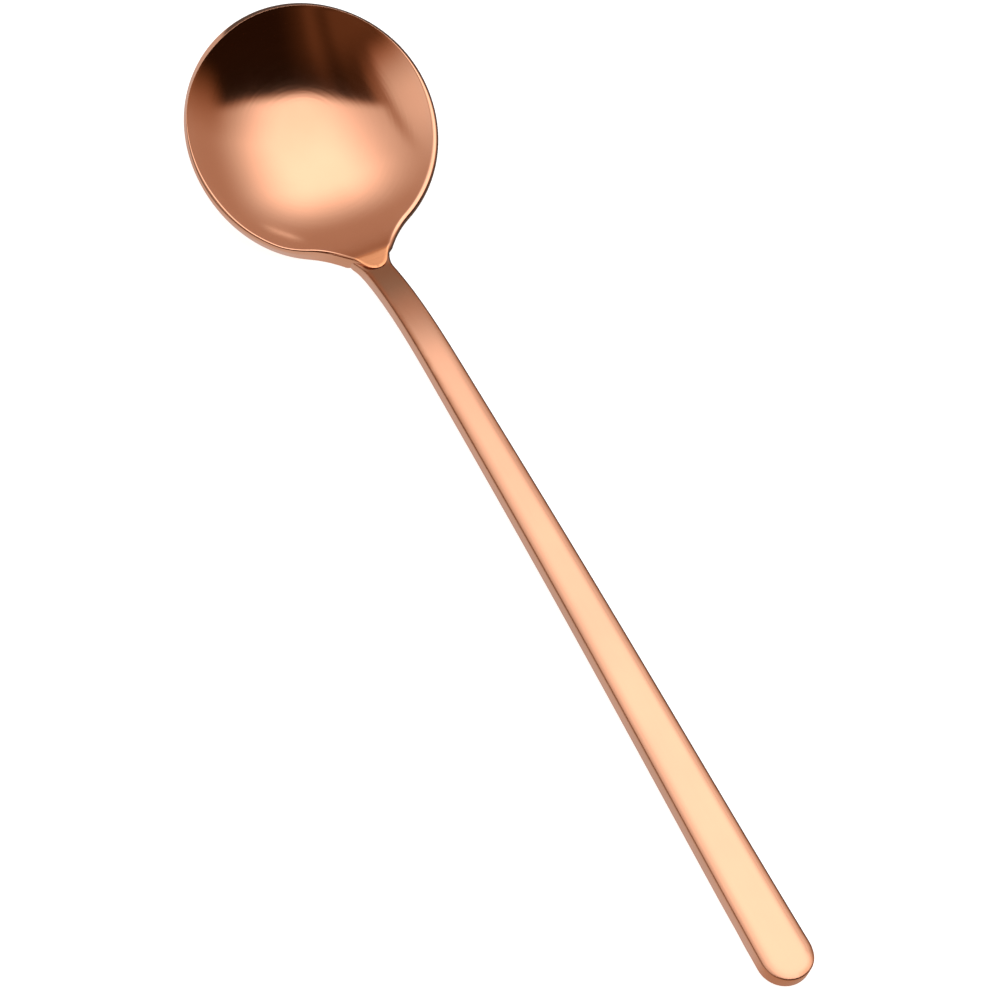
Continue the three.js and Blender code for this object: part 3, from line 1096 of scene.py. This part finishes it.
@dataclass
class NodeSketch:
    """Short way to place and link the nodes of one tree."""

    tree: bpy.types.NodeTree

    def add(self, kind: str, **settings: object) -> Node:
        """Add a node.

        Args:
            kind: Blender's name of the node type, without its ShaderNode prefix.
            settings: properties set on the node.

        Returns:
            The new node.
        """
        node = self.tree.nodes.new("ShaderNode" + kind)
        for name, value in settings.items():
            setattr(node, name, value)
        return node

    def link(self, source: Socket, target: Socket) -> None:
        """Link two sockets."""
        self.tree.links.new(source, target)

    def feed(self, target: Socket, value: object) -> None:
        """Feed a socket.

        Args:
            target: socket of a node's input.
            value: socket that is linked to it, or a plain value that is set on it.
        """
        if isinstance(value, Socket):
            self.link(value, target)
        else:
            target.default_value = value

    def wire(self, node: Node, inputs: dict[str, object]) -> Node:
        """Feed a node's inputs by their labels.

        Args:
            node: node whose inputs are fed.
            inputs: sockets or plain values by label.

        Returns:
            The node.
        """
        for label, value in inputs.items():
            self.feed(node.inputs[label], value)
        return node

    def value(self, kind: str, values: Iterable[object], **settings: object) -> Socket:
        """Add a node and feed its inputs in order.

        Args:
            kind: Blender's name of the node type, without its ShaderNode prefix.
            values: sockets or plain values of its first inputs.
            settings: properties set on the node.

        Returns:
            Its first output.
        """
        node = self.add(kind, **settings)
        for socket, value in zip(node.inputs, values):
            self.feed(socket, value)
        return node.outputs[0]

    def group(self, tree: bpy.types.NodeTree, **inputs: object) -> Sequence[Socket]:
        """Place a node group with its inputs and return its outputs."""
        return self.wire(self.add("Group", node_tree=tree), inputs).outputs

    def math(self, operation: str, *values: object) -> Socket:
        """Result of a Math node."""
        return self.value("Math", values, operation=operation)

    def ramp(
        self, value: object, start: float, end: float, low: float = 0.0, high: float = 1.0
    ) -> Socket:
        """Smooth step of a value, from low at the start to high at the end."""
        numbers = (value, start, end, low, high)
        return self.value("MapRange", numbers, interpolation_type="SMOOTHSTEP")

    def product(self, first: object, *others: object) -> Socket:
        """Multiply sockets and numbers.

        Args:
            first: socket or number.
            others: sockets or numbers that it is multiplied by.

        Returns:
            Their product.
        """
        for other in others:
            first = self.math("MULTIPLY", first, other)
        return first

    def noise(self, vector: Socket, scale: object, detail: float) -> Socket:
        """Value of a Noise texture."""
        inputs = {"Vector": vector, "Scale": scale, "Detail": detail}
        return self.wire(self.add("TexNoise"), inputs).outputs[0]

    def stretch(self, vector: Socket, scale: Point) -> Socket:
        """Scale a vector differently along its three axes."""
        return self.value("VectorMath", (vector, scale), operation="MULTIPLY")

    def painted(self, name: str) -> Socket:
        """Value painted on the piece's vertices."""
        return self.add("Attribute", attribute_name=name).outputs["Fac"]

    def blend(self, share: object, first: object, second: object) -> Socket:
        """Blend two colours.

        Args:
            share: share of the second.
            first: colour or socket.
            second: colour or socket.

        Returns:
            The blended colour.
        """
        node = self.add("Mix", data_type="RGBA")
        for index, value in ((0, share), (6, first), (7, second)):
            self.feed(node.inputs[index], value)
        return node.outputs[2]

    def plus(self, first: object, second: object) -> Socket:
        """Sum of two values."""
        return self.math("ADD", first, second)

    def minus(self, first: object, second: object) -> Socket:
        """Difference of two values."""
        return self.math("SUBTRACT", first, second)

    def fused(self, value: object, share: object, start: object) -> Socket:
        """Start and a share of a value together."""
        return self.math("MULTIPLY_ADD", value, share, start)

    def off(self, value: object, centre: object) -> Socket:
        """Distance of a value from a centre."""
        return self.math("ABSOLUTE", self.minus(value, centre))

    def emboss(self, height: Socket, depth: float, shader: Node) -> None:
        """Give a shader a relief of some depth by a Bump node."""
        bump = self.wire(self.add("Bump"), {"Strength": 1.0, "Distance": depth, "Height": height})
        self.link(bump.outputs[0], shader.inputs["Normal"])


class FinishGroups:
    """Node groups that the finishes share, each built once."""

    line_detail: float = 4.0
    hair_stretch: Point = (0.6, 2.7, 2.7)
    hair_span: Span = (0.66, 0.76)
    patch_stretch: Point = (1.3, 0.12, 0.12)
    patch_span: Span = (0.45, 0.65)
    drift_span: Span = (0.32, 0.72)
    rub_and_shade_scale: float = 420.0
    rub_and_shade_span: Span = (0.3, 0.6)
    rub_and_shade_least: float = 0.35

    @staticmethod
    def start(
        name: str, inputs: dict[str, str], outputs: Sequence[str]
    ) -> tuple[NodeSketch, Node, Node]:
        """Start a group.

        Args:
            name: name of the group.
            inputs: socket types of its inputs by their labels.
            outputs: labels of its values.

        Returns:
            Its sketch, its input node and its output node.
        """
        tree = bpy.data.node_groups.new(name, "ShaderNodeTree")
        for label, kind in inputs.items():
            tree.interface.new_socket(name=label, in_out="INPUT", socket_type=kind)
        for label in outputs:
            tree.interface.new_socket(name=label, in_out="OUTPUT", socket_type="NodeSocketFloat")
        return NodeSketch(tree), tree.nodes.new("NodeGroupInput"), tree.nodes.new("NodeGroupOutput")

    @cached_property
    def polish_lines(self) -> bpy.types.NodeTree:
        """Fine lines left by polishing, and sparse hair scratches among them."""
        sketch, given, result = self.start(
            "polish_lines", {"Lay": "NodeSocketVector"}, ("Lines", "Scratches")
        )
        lay = given.outputs["Lay"]
        sketch.link(sketch.noise(lay, 1.0, self.line_detail), result.inputs["Lines"])
        hair, patch = (
            sketch.ramp(sketch.noise(sketch.stretch(lay, stretch), 1.0, 1.0), *span)
            for stretch, span in (
                (self.hair_stretch, self.hair_span),
                (self.patch_stretch, self.patch_span),
            )
        )
        sketch.link(sketch.product(hair, patch), result.inputs["Scratches"])
        return sketch.tree

    @cached_property
    def tone_drift(self) -> bpy.types.NodeTree:
        """Slow clouds of a deeper tone."""
        sketch, given, result = self.start(
            "tone_drift", {"Place": "NodeSocketVector", "Scale": "NodeSocketFloat"}, ("Drift",)
        )
        clouds = sketch.noise(given.outputs["Place"], given.outputs["Scale"], 3.0)
        sketch.link(sketch.ramp(clouds, *self.drift_span), result.inputs["Drift"])
        return sketch.tree

    @cached_property
    def edge_rub_and_shade(self) -> bpy.types.NodeTree:
        """Uneven share of the painted edge band: rubbed wear on the bowl's rim, painted shade on the
        handle's edges.
        """
        sketch, given, result = self.start(
            "edge_rub_and_shade", {"Place": "NodeSocketVector", "Edge": "NodeSocketFloat"}, ("Rub_and_shade",)
        )
        patches = sketch.noise(given.outputs["Place"], self.rub_and_shade_scale, 3.0)
        uneven = sketch.ramp(patches, *self.rub_and_shade_span, self.rub_and_shade_least, 1.0)
        sketch.link(sketch.product(given.outputs["Edge"], uneven), result.inputs["Rub_and_shade"])
        return sketch.tree


def start_material(name: str, piece: Piece, metallic: float = 1.0) -> tuple[NodeSketch, Node]:
    """Give a piece a new material.

    Args:
        name: name of the material.
        piece: object whose material slots are set.
        metallic: 1 for metal, 0 for anything else.

    Returns:
        The material's sketch and its shader.
    """
    material = bpy.data.materials.new(name)
    material.use_nodes = True
    piece.data.materials.clear()
    piece.data.materials.append(material)
    shader = material.node_tree.nodes["Principled BSDF"]
    shader.inputs["Metallic"].default_value = metallic
    return NodeSketch(material.node_tree), shader


@dataclass(frozen=True)
class CopperPolish:
    """Copper-coloured polish with fine lines, slow drifts of tone, an edge band (rubbed wear on the
    bowl, painted shade on the handle), painted shade at the neck and a painted highlight on the tongue.
    """

    name: str
    tint: Tint
    deep_and_shade_tint: Tint
    rub_and_shade_tint: Tint
    roughness: float
    lay: Lay
    edge_share: float = 0.35
    neck_shade_share: float = 0.45
    drift_share: float = 0.22
    drift_scale: float = 75.0
    # Painted highlight: a more orange tint for the tongue's upper face.
    tongue_highlight_tint: Tint = Tint(0.95, 0.39, 0.185)
    line_depth: float = 3e-6
    line_scale: float = 2600.0
    along_scale: float = 55.0
    round_scale: float = 1.2
    line_roughness: float = 0.06
    scratch_roughness: float = 0.03
    drift_roughness: float = 0.025

    def lay_vector(self, sketch: NodeSketch, place: Socket, frame_of: Matrix) -> Socket:
        """Coordinates in which the polishing lines run along the first axes.

        Args:
            sketch: sketch of the material.
            place: Object coordinates.
            frame_of: place of the piece's own frame, for lines that run round its axis.

        Returns:
            Vector that changes slowly along the lines and quickly across them.
        """
        if self.lay is Lay.ALONG:
            return sketch.stretch(place, (self.along_scale, self.line_scale, self.line_scale))
        turned = sketch.wire(
            sketch.add("Mapping", vector_type="TEXTURE"),
            {"Vector": place, "Location": frame_of.to_translation(), "Rotation": frame_of.to_euler()},
        )
        flat = sketch.stretch(turned.outputs[0], (1.0, 1.0, 0.0))
        reach, parts = sketch.add("VectorMath", operation="LENGTH"), sketch.add("SeparateXYZ")
        sketch.link(flat, reach.inputs[0])
        sketch.link(sketch.value("VectorMath", (flat,), operation="NORMALIZE"), parts.inputs[0])
        across = sketch.product(reach.outputs["Value"], self.line_scale)
        along = [sketch.product(parts.outputs[axis], self.round_scale) for axis in (0, 1)]
        return sketch.value("CombineXYZ", (along[0], across, along[1]))

    def dress(self, piece: Piece, groups: FinishGroups, frame_of: Matrix) -> None:
        """Give a piece this finish.

        Args:
            piece: object whose material slots are set.
            groups: node groups that the finishes share.
            frame_of: place of the piece's own frame.
        """
        sketch, shader = start_material(self.name, piece)
        place = sketch.add("TexCoord").outputs["Object"]
        lines = sketch.group(groups.polish_lines, Lay=self.lay_vector(sketch, place, frame_of))
        drift = sketch.group(groups.tone_drift, Place=place, Scale=self.drift_scale)["Drift"]
        rub_and_shade = sketch.group(groups.edge_rub_and_shade, Place=place, Edge=sketch.painted("edge_wear_and_shade"))["Rub_and_shade"]

        clouds = sketch.product(drift, self.drift_share)
        # Deeper tone: random clouds plus painted shade at the neck.
        deep_and_shade = sketch.fused(sketch.painted("neck_shade"), self.neck_shade_share, clouds)
        toned = sketch.blend(deep_and_shade, self.tint.rgba, self.deep_and_shade_tint.rgba)
        # Painted highlight: the tongue's upper face tinted more orange.
        if "tongue" in piece.data.attributes:
            toned = sketch.blend(sketch.painted("tongue"), toned, self.tongue_highlight_tint.rgba)
        # Edge band: rubbed wear on the bowl's rim, painted shade along the handle's edges.
        toned = sketch.blend(sketch.product(rub_and_shade, self.edge_share), toned, self.rub_and_shade_tint.rgba)

        rough = self.roughness - self.line_roughness / 2.0
        rough = sketch.fused(lines["Lines"], self.line_roughness, rough)
        rough = sketch.fused(lines["Scratches"], self.scratch_roughness, rough)
        rough = sketch.fused(drift, self.drift_roughness, rough)
        sketch.wire(shader, {"Base Color": toned, "Roughness": rough})
        sketch.emboss(lines["Lines"], self.line_depth, shader)


@dataclass(frozen=True)
class BrazeSkin:
    """Dull, slightly pitted skin of the braze, darker where flux has burnt in."""

    name: str
    tint: Tint
    burnt_tint: Tint
    roughness: float
    burnt_roughness: float = 0.15
    burnt_scale: float = 900.0
    pit_scale: float = 4200.0
    pit_depth: float = 1.2e-5

    def dress(self, piece: Piece, groups: FinishGroups) -> None:
        """Give a piece this finish.

        Args:
            piece: object whose material slots are set.
            groups: node groups that the finishes share.
        """
        sketch, shader = start_material(self.name, piece)
        place = sketch.add("TexCoord").outputs["Object"]
        burnt = sketch.group(groups.tone_drift, Place=place, Scale=self.burnt_scale)["Drift"]
        toned = sketch.blend(burnt, self.tint.rgba, self.burnt_tint.rgba)
        rough = sketch.fused(burnt, self.burnt_roughness, self.roughness)
        sketch.wire(shader, {"Base Color": toned, "Roughness": rough})
        sketch.emboss(sketch.noise(place, self.pit_scale, 2.0), self.pit_depth, shader)


class Sky:
    """Direction of the light by its lean from the zenith in degrees: a to the tail and b to +Y."""

    least_flat: float = 1e-4

    def __init__(self, sketch: NodeSketch) -> None:
        """Read the direction.

        Args:
            sketch: sketch of the world.
        """
        self.sketch = sketch
        way = sketch.add("SeparateXYZ")
        sketch.link(sketch.add("TexCoord").outputs["Generated"], way.inputs[0])
        x, y, z = way.outputs
        total = sketch.math("DEGREES", sketch.math("ARCCOSINE", z))
        flat = sketch.math("SQRT", sketch.plus(sketch.product(x, x), sketch.product(y, y)))
        spread = sketch.math("DIVIDE", total, sketch.math("MAXIMUM", flat, self.least_flat))
        self.a, self.b = sketch.product(x, spread), sketch.product(y, spread)

    def along(self, span: Span, low: float = 0.0, high: float = 1.0) -> Socket:
        """Smooth step over a span of leans towards the tail."""
        return self.sketch.ramp(self.a, *span, low, high)

    def across(self, span: Span, low: float = 0.0, high: float = 1.0) -> Socket:
        """Smooth step over a span of leans towards +Y."""
        return self.sketch.ramp(self.b, *span, low, high)

    def beside(self, lean: float, span: Span, low: float = 0.0, high: float = 1.0) -> Socket:
        """Smooth step over a span of distances from a lean towards +Y."""
        return self.sketch.ramp(self.sketch.off(self.b, lean), *span, low, high)


@dataclass
class Studio:
    """Pale floor, soft overhead light with a darker side towards the tail, and the camera.

    The spans of the light are leans in degrees, and those of the floor are places on it.
    """

    floor_half: float = 6.0
    floor_tone: float = 0.8
    floor_glow: float = 0.85
    floor_sunk: float = 0.02 * MM
    # Painted glow of the floor as reflections see it, in place of its lit colour.
    near_glow: float = 0.66
    far_glow: float = 0.12
    near_span: Span = (2.5 * MM, -1.5 * MM)
    front_glow: float = 0.4
    front_span: Span = (68.0 * MM, 74.0 * MM)
    front_glow_tint: Tint = Tint(1.35, 1.0, 0.78)
    dusk_share: float = 0.15
    dusk_span: Span = (-21.0 * MM, -33.0 * MM)

    edge_lean: float = 29.4
    edge_blur: float = 2.6
    low_bend: float = 11.0
    low_bend_softness: float = 14.0
    low_bend_slope: float = -0.63
    high_bend: float = 42.0
    high_bend_softness: float = 10.0
    high_bend_slope: float = -0.25
    low_span: Span = (-17.0, -27.0)
    low_end: Span = (44.0, 8.0)
    high_span: Span = (55.0, 68.0)
    high_end: Span = (47.0, 6.0)

    field_level: float = 1.46
    field_back: Span = (-39.0, -13.0)
    field_high: Span = (72.0, 31.0)
    field_low: Span = (-25.0, 14.0)
    field_front: Span = (26.0, -6.0)
    field_front_share: float = 0.85
    inset_start: float = 10.0
    inset_slope: float = 0.55

    wall_level: float = 0.39
    back_level: float = 0.25
    back_span: Span = (-62.0, -42.0)
    low_level: float = 0.5
    low_rise: Span = (5.0, -40.0)
    low_back: Span = (-45.0, 2.0)
    crease_lean: float = -23.2
    crease_depth: float = 0.3
    crease_width: float = 4.5
    crease_span: Span = (-25.0, 4.0)
    dip_share: float = 0.72
    dip_lean: float = -29.0
    dip_width: Span = (13.0, 5.0)
    dip_span: Span = (-28.0, -40.0)

    dark_level: float = 0.002
    dark_glow: float = 0.055
    glow_span: Span = (20.0, -14.0)
    glow_least: float = 0.1
    glow_depth: Span = (28.0, 52.0)
    glow_shares: Span = (0.4, 1.1)
    stripe_lean: float = 1.0
    stripe_share: float = 1.6
    gap_lean: float = -7.0
    gap_share: float = 0.55
    stripe_width: float = 5.5

    glint_level: float = 0.85
    glint_slope: float = 0.586
    glint_shift: float = -67.1
    glint_width: Span = (1.9, 0.2)
    glint_lean: float = 53.0
    glint_length: Span = (9.0, 2.0)

    side_level: float = 0.6
    side_span: Span = (-40.0, -46.0)
    strip_share: float = 0.85
    strip_start: Span = (-47.0, -52.0)
    strip_end: Span = (-78.0, -70.0)

    warm_power: float = 3.0
    warm_red: float = 1.2
    warm_blue: float = -0.62
    light_map: int = 512
    lens: float = 144.0
    sensor: float = 36.0

    def lay_floor(self) -> Piece:
        """Lay the floor, which the metal sees brighter on the camera's side of the spoon.

        Returns:
            The floor, which is no part of the spoon.
        """
        Bench.clear()
        bpy.ops.mesh.primitive_circle_add(
            vertices=64, radius=self.floor_half, fill_type="NGON", location=(0.0, 0.0, -self.floor_sunk)
        )
        floor = Bench.settle()
        floor.name = "floor"
        sketch, shader = start_material("pale_floor", floor, metallic=0.0)
        path = sketch.add("LightPath").outputs
        sketch.wire(
            shader,
            {
                "Base Color": Tint(self.floor_tone, self.floor_tone, self.floor_tone).rgba,
                "Roughness": 0.9,
                "Specular IOR Level": 0.1,
                "Emission Color": WHITE.rgba,
                "Emission Strength": sketch.product(path["Is Camera Ray"], self.floor_glow),
            },
        )
        # Reflections see the floor as a painted glow: brighter on the camera's side, darker towards +Y,
        # dimmer far out towards -Y, and dimmer and warmer from the tail's end on.
        parts = sketch.add("SeparateXYZ")
        sketch.link(sketch.add("TexCoord").outputs["Object"], parts.inputs[0])
        x, y = parts.outputs[:2]
        side = sketch.ramp(y, *self.near_span, self.far_glow, self.near_glow)
        front = sketch.ramp(x, *self.front_span)
        dusk = sketch.ramp(y, *self.dusk_span, 1.0, self.dusk_share)
        kept = sketch.product(side, dusk, sketch.minus(1.0, front))
        strength = sketch.fused(front, self.front_glow, kept)
        colour = sketch.blend(front, WHITE.rgba, self.front_glow_tint.rgba)
        seen = sketch.wire(sketch.add("Emission"), {"Color": colour, "Strength": strength})
        choice = (path["Is Glossy Ray"], shader.outputs[0], seen.outputs[0])
        surface = sketch.value("MixShader", choice)
        sketch.wire(sketch.tree.nodes["Material Output"], {"Surface": surface})
        return floor

    def shown(self, sky: Sky) -> Socket:
        """Share of the lamps and walls that the dark side lets through.

        Args:
            sky: direction of the light.

        Returns:
            Share that falls off at the dark side's edge, more softly at both ends of it.
        """
        sketch = sky.sketch
        below, above = sketch.minus(self.low_bend, sky.b), sketch.minus(sky.b, self.high_bend)
        below = sketch.math("SMOOTH_MAX", below, 0.0, self.low_bend_softness)
        above = sketch.math("SMOOTH_MAX", above, 0.0, self.high_bend_softness)
        edge = sketch.fused(below, self.low_bend_slope, self.edge_lean)
        edge = sketch.fused(above, self.high_bend_slope, edge)
        lit = sketch.ramp(sketch.minus(sky.a, edge), self.edge_blur, -self.edge_blur)
        low, high = sky.across(self.low_span), sky.across(self.high_span)
        shown = sketch.product(lit, sketch.minus(1.0, sketch.plus(low, high)))
        shown = sketch.fused(sky.along(self.low_end), low, shown)
        return sketch.fused(sky.along(self.high_end), high, shown)

    def lamps(self, sky: Sky) -> Socket:
        """Brightness of the lamps.

        Args:
            sky: direction of the light.

        Returns:
            Level of the overhead field and of a thin glint.
        """
        sketch = sky.sketch
        near_edge = sketch.math("MAXIMUM", sketch.minus(sky.a, self.inset_start), 0.0)
        inset = sketch.fused(near_edge, self.inset_slope, sky.b)
        field = sketch.product(
            self.field_level,
            sky.along(self.field_back),
            sketch.ramp(inset, *self.field_high),
            sky.across(self.field_low),
            sky.along(self.field_front, self.field_front_share, 1.0),
        )
        line = sketch.fused(sky.b, self.glint_slope, self.glint_shift)
        glint = sketch.product(
            self.glint_level,
            sketch.ramp(sketch.off(sky.a, line), *self.glint_width),
            sky.beside(self.glint_lean, self.glint_length),
        )
        return sketch.plus(field, glint)

    def walls(self, sky: Sky) -> Socket:
        """Brightness of the dim walls.

        Args:
            sky: direction of the light.

        Returns:
            Their level, with a rise, a soft crease and a dip towards -Y.
        """
        sketch = sky.sketch
        wall = sky.along(self.back_span, self.back_level, self.wall_level)
        rise = sketch.product(self.low_level, sky.across(self.low_rise), sky.along(self.low_back))
        depth = sky.along(self.crease_span, 1.0, self.crease_depth)
        from_crease = sky.beside(self.crease_lean, (0.0, self.crease_width))
        crease = sketch.plus(depth, sketch.product(sketch.minus(1.0, depth), from_crease))
        dip = sketch.product(
            -self.dip_share, sky.beside(self.dip_lean, self.dip_width), sky.along(self.dip_span)
        )
        return sketch.product(sketch.plus(wall, rise), crease, sketch.plus(dip, 1.0))

    def dark(self, sky: Sky) -> Socket:
        """Brightness of the dark side.

        Args:
            sky: direction of the light.

        Returns:
            Its faint level, with a lighter stripe and a gap beside it.
        """
        width = (self.stripe_width, 0.0)
        glow = sky.sketch.product(
            self.dark_glow,
            sky.across(self.glow_span, self.glow_least, 1.0),
            sky.along(self.glow_depth, *self.glow_shares),
            sky.beside(self.stripe_lean, width, 1.0, self.stripe_share),
            sky.beside(self.gap_lean, width, 1.0, self.gap_share),
        )
        return sky.sketch.plus(glow, self.dark_level)

    def level(self, sketch: NodeSketch) -> Socket:
        """Brightness of the light by its direction.

        Args:
            sketch: sketch of the world.

        Returns:
            Its level: lamps and walls, cut off by a dark side, and a plain side with a dark strip.
        """
        sky = Sky(sketch)
        lamps, shown = sketch.plus(self.lamps(sky), self.walls(sky)), self.shown(sky)
        inside = sketch.fused(lamps, shown, self.dark(sky))
        side = sky.across(self.side_span)
        strip = sketch.product(sky.across(self.strip_start), sky.across(self.strip_end))
        beside = sketch.fused(strip, -self.strip_share * self.side_level, self.side_level)
        return sketch.fused(side, beside, sketch.product(inside, sketch.minus(1.0, side)))

    def hang_light(self) -> None:
        """Make the soft light, warmer where it is dim, over a background that the camera sees white."""
        world = bpy.data.worlds.new("soft_studio")
        world.use_nodes = True
        bpy.context.scene.world = world
        world.node_tree.nodes.clear()
        sketch = NodeSketch(world.node_tree)
        camera_ray = sketch.add("LightPath").outputs["Is Camera Ray"]
        seen = sketch.math("MAXIMUM", self.level(sketch), camera_ray)
        dim = sketch.math("MAXIMUM", sketch.minus(1.0, seen), 0.0)
        warm = sketch.math("POWER", dim, self.warm_power)
        red, blue = (sketch.fused(warm, share, 1.0) for share in (self.warm_red, self.warm_blue))
        colour = sketch.value("CombineColor", (red, 1.0, blue))
        background = sketch.wire(sketch.add("Background"), {"Color": colour, "Strength": seen})
        sketch.wire(sketch.add("OutputWorld"), {"Surface": background.outputs[0]})
        world.cycles.sampling_method = "MANUAL"
        world.cycles.sample_map_resolution = self.light_map

    def place_camera(self) -> None:
        """Place the camera at the photograph's viewing angle."""
        stand = Vector((0.181096872, -0.190668585, 0.455651249))
        right = Vector((0.478314, 0.862011, 0.167790))
        down = Vector((0.807411, -0.356514, -0.470091))
        ahead = Vector((-0.345404, 0.360327, -0.866522))
        data = bpy.data.cameras.new("camera")
        data.sensor_width = self.sensor
        data.lens = self.lens
        data.clip_start = 0.01
        data.clip_end = 50.0
        camera = bpy.data.objects.new("camera", data)
        bpy.context.scene.collection.objects.link(camera)
        turn = Matrix((right, -down, -ahead)).transposed().to_4x4()
        camera.matrix_world = Matrix.Translation(stand) @ turn
        bpy.context.scene.camera = camera

    def set_up(self) -> None:
        """Set up the floor, the light, the camera and the plain colour transform."""
        self.lay_floor()
        self.hang_light()
        self.place_camera()
        bpy.context.scene.view_settings.view_transform = "Standard"


@dataclass(frozen=True)
class PieceCard:
    """Card of a piece: the solid that it stands for, which the frame hides, and a slot name."""

    node: str
    slot: str


def settle_piece(piece: Piece, card: PieceCard) -> None:
    """Tie a finished piece to the frame and report it.

    Args:
        piece: finished object.
        card: its solid.
    """
    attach(piece, "root")
    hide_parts(card.node)
    spread = list(zip(*(vertex.co / MM for vertex in piece.data.vertices)))
    low, high = ([round(end(values), 3) for values in spread] for end in (min, max))
    LOG.info("%s: %d faces, %s to %s mm", piece.name, len(piece.data.polygons), low, high)


def main() -> None:
    """Build the spoon's pieces, dress them and set the stage."""
    logging.basicConfig(level=logging.INFO, format="%(name)s: %(message)s")
    bowl = PressedBowl()
    handle = HandleBar(bowl)
    braze = BrazeLine(handle)

    groups = FinishGroups()
    bowl_polish = CopperPolish(
        name="bowl_polish",
        tint=Tint(0.86, 0.415, 0.255),
        deep_and_shade_tint=Tint(0.72, 0.32, 0.175),
        rub_and_shade_tint=Tint(0.88, 0.46, 0.30),
        roughness=0.11,
        lay=Lay.ROUND,
    )
    handle_polish = CopperPolish(
        name="handle_polish",
        # On the handle the deeper tint is mostly painted shade at the neck, and the edge tint is
        # painted shade along the edges.
        tint=Tint(0.84, 0.415, 0.26),
        deep_and_shade_tint=Tint(0.56, 0.33, 0.22),
        rub_and_shade_tint=Tint(0.64, 0.275, 0.15),
        roughness=0.2,
        lay=Lay.ALONG,
        edge_share=0.8,
        neck_shade_share=0.9,
    )
    braze_skin = BrazeSkin(
        name="braze_skin", tint=Tint(0.62, 0.30, 0.16), burnt_tint=Tint(0.4, 0.17, 0.08), roughness=0.32
    )

    sheet = bowl.build()
    bowl_polish.dress(sheet, groups, bowl.place)
    settle_piece(sheet, PieceCard("bowl", "bowl_copper"))

    bar = handle.build()
    handle_polish.dress(bar, groups, Matrix.Identity(4))
    settle_piece(bar, PieceCard("handle", "handle_copper"))

    joint = braze.build()
    braze_skin.dress(joint, groups)
    settle_piece(joint, PieceCard("braze_seam", "braze_line"))

    Studio().set_up()


if __name__ == "__main__":
    main()
